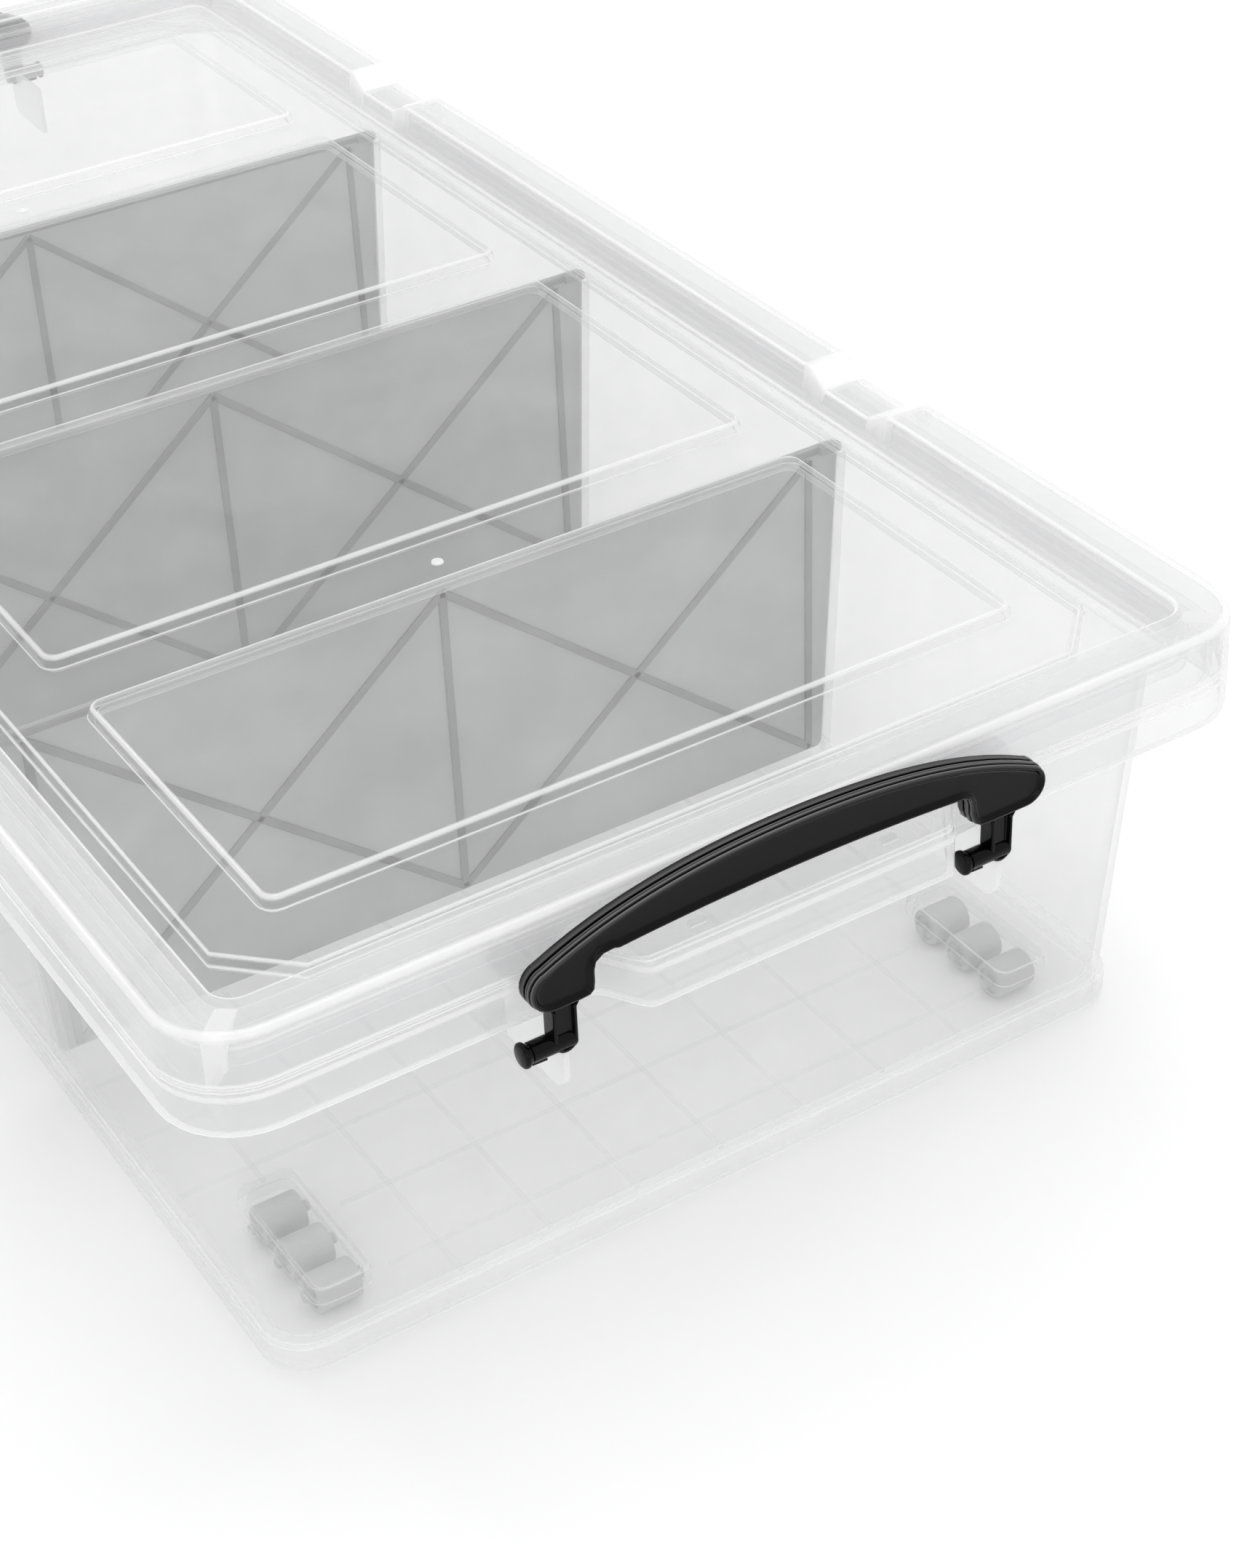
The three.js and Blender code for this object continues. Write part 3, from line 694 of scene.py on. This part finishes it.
# ---------- dividers ----------
def make_divider(name, y):
    """A plate with crossed braces, a central rib, end ribs and two ears, all on its front side."""
    s = Skin()
    clear = WALL + 1.0
    low, high = FLOOR + 0.4, 149.0

    def half(z):
        return HALF_X - wall_inset(z) - clear

    outline = [
        (-half(low) + 2, low), (half(low) - 2, low), (half(low + 2), low + 2), (half(high - 6), high - 6),
        (half(high - 6) - 0.2, high - 0.8), (half(high - 6) - 1, high), (-half(high - 6) + 1, high),
        (-half(high - 6) + 0.2, high - 0.8), (-half(high - 6), high - 6), (-half(low + 2), low + 2),
    ]
    levels = []
    for depth, inward in ((-1.1, 0.5), (-0.7, 0.0), (0.7, 0.0), (1.1, 0.5)):
        levels.append(([(a, y + depth, z) for a, z in offset(outline, inward)], 0.1))
    first, last = s.skin(levels)
    s.cap(first)
    s.cap(last)

    def bar(x0, z0, x1, z1, width=3.2):
        length = math.hypot(x1 - x0, z1 - z0)
        nx, nz = -(z1 - z0) / length, (x1 - x0) / length
        loops = []
        for depth, w in ((-0.9, width / 2), (-1.8, width / 2 - 0.1), (-2.1, width / 2 - 0.5)):
            corners = [(x0 - nx * w, z0 - nz * w), (x1 - nx * w, z1 - nz * w),
                       (x1 + nx * w, z1 + nz * w), (x0 + nx * w, z0 + nz * w)]
            loops.append(s.loop([(a, y + depth, z) for a, z in corners], 1.0))
        s.band(loops[0], loops[1])
        s.band(loops[1], loops[2])
        s.cap(loops[0])
        s.cap(loops[2])

    rib_low, rib_high = low + 2, high - 5
    end_rib = half(low) - 7
    bar(0, rib_low, 0, rib_high)
    for side in (-1, 1):
        bar(side * end_rib, rib_low, side * end_rib, rib_high)
        bar(0, rib_low, side * end_rib, rib_high)
        bar(0, rib_high, side * end_rib, rib_low)
        ear = side * (half(high - 4) - 5)
        s.add_box((ear - 4.5, y - 4.1, high - 3), (ear + 4.5, y - 0.9, high - 0.1), 0.6)
    bar(-half(high) + 3, high - 1.8, half(high) - 3, high - 1.8, 2.6)
    return s.object(f"{name}_panel", divider_plastic, name, nodes=(name,))


# ---------- rollers ----------
def make_roller(name, x, y):
    """A wheel and its two stubs, turned about an axle along x."""
    s = Skin()
    h = ROLLER_W / 2
    profile = [
        (0.01, -h - 3.0), (1.6, -h - 3.0), (2.0, -h - 2.6), (2.0, -h + 0.9), (4.6, -h + 0.9), (5.0, -h),
        (6.2, -h), (6.75, -h + 0.25), (7.0, -h + 0.9), (7.0, h - 0.9), (6.75, h - 0.25), (6.2, h),
        (5.0, h), (4.6, h - 0.9), (2.0, h - 0.9), (2.0, h + 2.6), (1.6, h + 3.0), (0.01, h + 3.0),
    ]
    levels = []
    for radius, along in profile:
        ring = [(x + along, y + radius * math.cos(a), ROLLER_R + radius * math.sin(a)) for a in TURNS]
        levels.append((ring, 0.0))
    first, last = s.skin(levels)
    s.cap(first)
    s.cap(last)
    return s.object(f"{name}_wheel", roller_plastic, name, nodes=(name,))


# ---------- handles ----------
def arch_top(x):
    """Height of the grip's upper line at x."""
    return 174.6 - 0.0015 * x ** 2 - 7.8e-8 * x ** 4


def arch_bottom(x):
    """Height of the grip's lower line at x."""
    return 157.8 - 0.0006 * x ** 2


def handle_outline(shift):
    """The handle seen from the front, counter-clockwise as (x, z)."""
    lobe_x, lobe_z, r = 87.2, 150.2, 7.8
    left, right = -67.0 + shift, 67.0 + shift
    points = [(lobe_x + r * math.cos(a), lobe_z + r * math.sin(a))
              for a in [math.radians(-90 + 15 * k) for k in range(11)]]
    top_half, top_steps = 90.0, 44
    top = [top_half - 2 * top_half * k / top_steps for k in range(top_steps + 1)]
    points += [(x, arch_top(x)) for x in top]
    points += [(-lobe_x + r * math.cos(a), lobe_z + r * math.sin(a))
               for a in [math.radians(120 + 15 * k) for k in range(11)]]
    points += [(left - 9, 142.4), (left - 5.5, 142.7), (left - 3.6, 144.4), (left - 3.2, 147.5),
               (left - 3.2, 151.5), (left - 2.6, 154.0), (left - 0.4, 155.6), (left + 3, 155.9)]
    start, stop, under_steps = left + 5, right - 5, 30
    under = [start + (stop - start) * k / under_steps for k in range(under_steps + 1)]
    points += [(x, arch_bottom(x)) for x in under]
    points += [(right - 3, 155.6), (right - 0.6, 154.6), (right + 0.3, 152.0), (right + 0.6, 148.0),
               (right + 1.8, 144.6), (right + 4.4, 142.7), (right + 8, 142.4)]
    return points


def plaque(s, outline, levels, place):
    """Closed body from an outline; levels are (depth, inward, edge), place maps (a, depth, b)."""
    first, last = s.skin([([place(a, depth, b) for a, b in offset(outline, inward)], edge)
                          for depth, inward, edge in levels])
    s.fill([first])
    s.fill([last])


def make_handle(name, end):
    """end is -1 at the front and 1 at the rear, where the same moulding is turned half round."""
    s = Skin()
    turn = -end

    def place(a, depth, b):
        # depth runs outwards from the middle of the handle
        return (turn * a, end * (HALF_Y + PIN_OUT + depth), b)

    outline = handle_outline(-POST_SHIFT)
    # (depth, inward, edge): back flange, groove, grip with its painted highlight lines, front flange
    levels = [
        (-3.2, 2.2, 0), (-3.2, 1.6, 0), (-4.0, 1.0, 0), (-4.0, 0.7, 0), (-3.7, 0.25, 0.2), (-3.2, 0.0, 0),
        (-1.3, 0.0, 0.5), (-0.9, 0.25, 0), (-0.8, 1.0, 0), (-0.2, 1.0, 0), (-0.1, 0.2, 0), (0.3, 0.0, 0.6),
        (0.9, 0.0, 0.1), (1.5, 0.0, 0.9), (1.8, 0.35, 0.1), (1.95, 0.9, 0), (2.3, 0.9, 0), (2.45, 0.45, 0),
        (2.8, 0.35, 0.9), (3.5, 0.45, 0.3), (3.9, 0.8, 0.2), (4.0, 1.25, 0), (3.9, 1.7, 0), (3.2, 2.1, 0),
        (2.7, 2.5, 0), (2.5, 3.4, 0),
    ]
    plaque(s, outline, levels, place)
    for side in (-1, 1):
        x = side * POST_X - POST_SHIFT
        post = [(x + 4.2 * math.cos(a), POST_END_Z + 4.2 * math.sin(a))
                for a in [math.radians(180 + 18 * k) for k in range(11)]]
        post += [(x + 4.2, 140.5), (x + 5.2, 143.4), (x - 5.2, 143.4), (x - 4.2, 140.5)]
        recess = [
            (-3.2, 0.9, 0), (-3.2, 0.3, 0), (-2.8, 0.0, 0), (2.4, 0.0, 0), (2.9, 0.25, 0), (3.1, 0.7, 0),
            (3.0, 1.2, 0), (1.6, 1.5, 0), (1.4, 1.9, 0),
        ]
        plaque(s, post, recess, place)
        tip = x - 14.5
        profile = [
            (0.01, tip), (3.4, tip), (4.1, tip + 0.5), (4.2, tip + 1.0), (4.2, tip + 1.6), (3.9, tip + 2.0),
            (2.9, tip + 2.3), (2.9, tip + 3.1), (PIN_R, tip + 3.4), (PIN_R, x + 3.2), (3.0, x + 3.9),
            (0.01, x + 4.1),
        ]
        s.skin([([place(along, radius * math.cos(a), PIN_Z + radius * math.sin(a)) for a in TURNS], 0.0)
                for radius, along in profile])
        barb = [(tip + 3.4, -2.9), (tip + 3.4, -4.3), (tip + 8.6, -4.5), (tip + 8.6, -3.9), (tip + 4.2, -3.0)]
        loops = [s.loop([place(a, depth, PIN_Z + b) for a, b in barb]) for depth in (-1.2, 1.2)]
        s.band(*loops)
        s.cap(loops[0])
        s.cap(loops[1])
    return s.object(f"{name}_moulding", black_plastic, name, smooth=50.0, nodes=(name,))


# ---------- camera, light and floor ----------
def make_camera():
    """Camera solved from the photograph: straight edges of the box gave its place, turn and lens."""
    azimuth, elevation, roll = math.radians(31.426), math.radians(35.39), math.radians(-2.379)
    forward = Vector((math.sin(azimuth) * math.cos(elevation), math.cos(azimuth) * math.cos(elevation),
                      -math.sin(elevation)))
    right = Vector((math.cos(azimuth), -math.sin(azimuth), 0))
    up = right.cross(forward)
    turned_right = right * math.cos(roll) + up * math.sin(roll)
    turned_up = up * math.cos(roll) - right * math.sin(roll)
    camera = bpy.data.objects.new("camera", bpy.data.cameras.new("camera"))
    camera.data.sensor_width = 36.0
    camera.data.lens = 68.287
    camera.data.shift_x = -0.0036
    camera.data.clip_start = 0.01
    turned = Matrix((turned_right, turned_up, -forward)).transposed().to_4x4()
    camera.matrix_world = Matrix.Translation((-0.4129, -0.9837, 0.6956)) @ turned
    bpy.context.scene.collection.objects.link(camera)
    bpy.context.scene.camera = camera


def area_light(name, place, target, size, power):
    light = bpy.data.lights.new(name, "AREA")
    light.shape = "RECTANGLE"
    light.size, light.size_y = size
    light.energy = power
    obj = bpy.data.objects.new(name, light)
    obj.location = place
    obj.rotation_mode = "QUATERNION"
    obj.rotation_quaternion = (Vector(target) - Vector(place)).to_track_quat("-Z", "Y")
    bpy.context.scene.collection.objects.link(obj)


def make_stage():
    """Pale floor, white surroundings, three softboxes and the light paths that clear plastic needs."""
    mesh = bpy.data.meshes.new("floor")
    size = 30.0
    corners = [(-size, -size, 0), (size, -size, 0), (size, size, 0), (-size, size, 0)]
    mesh.from_pydata(corners, [], [(0, 1, 2, 3)])
    floor = bpy.data.objects.new("floor", mesh)
    bpy.context.scene.collection.objects.link(floor)
    material, tree = new_material("floor_pale")
    out = node(tree, "ShaderNodeOutputMaterial")
    base = node(tree, "ShaderNodeBsdfPrincipled")
    base.inputs["Base Color"].default_value = (0.9, 0.9, 0.9, 1)
    base.inputs["Roughness"].default_value = 0.9
    base.inputs["Specular IOR Level"].default_value = 0.1
    link(tree, base.outputs[0], out.inputs["Surface"])
    mesh.materials.append(material)
    world = bpy.data.worlds.new("studio")
    world.use_nodes = True
    background = world.node_tree.nodes["Background"]
    background.inputs["Color"].default_value = (1.0, 1.0, 1.0, 1)
    background.inputs["Strength"].default_value = 0.88
    bpy.context.scene.world = world
    area_light("softbox_top", (0.5, 0.15, 2.3), (0.0, 0.0, 0.1), (1.8, 1.8), 19.0)
    area_light("softbox_front", (-0.8, -2.3, 1.2), (0.0, -0.3, 0.1), (2.2, 1.2), 9.0)
    area_light("softbox_back", (-0.7, 1.6, 1.6), (0.0, 0.0, 0.1), (0.3, 0.3), 3.0)
    scene = bpy.context.scene
    scene.view_settings.view_transform = "Standard"
    scene.cycles.transparent_max_bounces = 32
    scene.cycles.max_bounces = 5
    scene.cycles.diffuse_bounces = 4
    scene.cycles.glossy_bounces = 2


make_camera()
make_stage()
make_lid()
make_lid_marks()
make_tub()
make_tub_ribs()
make_webs()
for name, y in zip(("divider_front", "divider_middle", "divider_rear"), STRIP_Y):
    make_divider(name, y)
for end_name, end in (("front", -1), ("rear", 1)):
    make_handle(f"handle_{end_name}", end)
    for side_name, side in (("left", -1), ("right", 1)):
        for index in range(3):
            y = end * (HALF_Y - ROLLER_FIRST - index * ROLLER_PITCH)
            make_roller(f"roller_{end_name}_{side_name}_{index + 1}", side * ROLLER_X, y)
